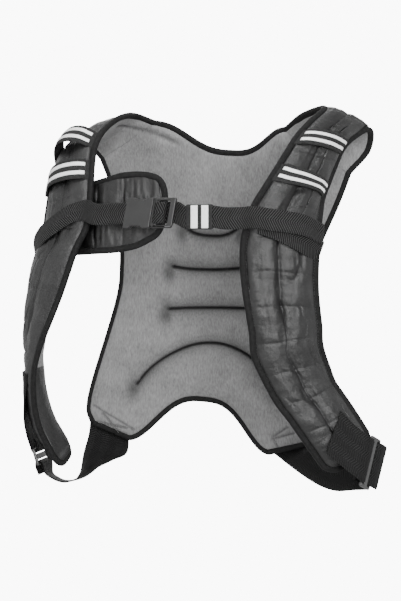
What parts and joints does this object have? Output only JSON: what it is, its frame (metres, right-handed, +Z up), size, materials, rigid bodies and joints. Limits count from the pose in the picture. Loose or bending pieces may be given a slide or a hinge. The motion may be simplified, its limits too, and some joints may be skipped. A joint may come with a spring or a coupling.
{
  "type": "weighted_vest",
  "caption": "Padded vest of black quilted nylon and grey neoprene that holds weights, worn over the shoulders, with a buckled chest strap and reflective elastic loops",
  "frame": {"origin": "midway between the undersides of the two shoulder straps, where they rest on the wearer's shoulders", "axes": "+Z up, -Y out of the front of the worn vest, +X towards the wearer's left side"},
  "size_m": [0.4188, 0.2248, 0.4394],
  "materials": {
    "neoprene": "mid grey brushed neoprene, matte with a fine nap",
    "nylon": "black woven nylon with a soft sheen and gathers at the seams",
    "binding": "black folded tape, matte, finely ribbed",
    "elastic": "black knitted elastic, matte",
    "webbing": "black herringbone webbing with a soft sheen",
    "reflective": "white reflective tape, smooth",
    "plastic": "black moulded acetal, satin"
  },
  "bodies": {
    "root": {"back_panel": "neoprene", "strap_left": "nylon", "strap_right": "nylon", "binding_neck": "binding", "binding_hem": "binding", "binding_side_left": "binding", "binding_side_right": "binding", "binding_strap_left": "binding", "binding_strap_right": "binding", "binding_pad": "binding", "loop_left_upper": "elastic", "loop_left_lower": "elastic", "loop_right_upper": "elastic", "loop_right_lower": "elastic", "loop_left_upper_stripe_top": "reflective", "loop_left_upper_stripe_bottom": "reflective", "loop_left_lower_stripe_top": "reflective", "loop_left_lower_stripe_bottom": "reflective", "loop_right_upper_stripe_top": "reflective", "loop_right_upper_stripe_bottom": "reflective", "loop_right_lower_stripe_top": "reflective", "loop_right_lower_stripe_bottom": "reflective", "buckle_pad": "nylon", "chest_web_left": "webbing", "chest_web_right": "webbing", "chest_web_tail": "webbing", "buckle_socket": "plastic", "buckle_plug": "plastic", "keeper": "elastic", "keeper_stripe_left": "reflective", "keeper_stripe_right": "reflective", "side_web_left": "webbing", "side_web_right": "webbing", "tongue_left": "webbing", "tongue_right": "webbing", "slider_left": "plastic", "slider_right": "plastic"}
  },
  "joints": []
}
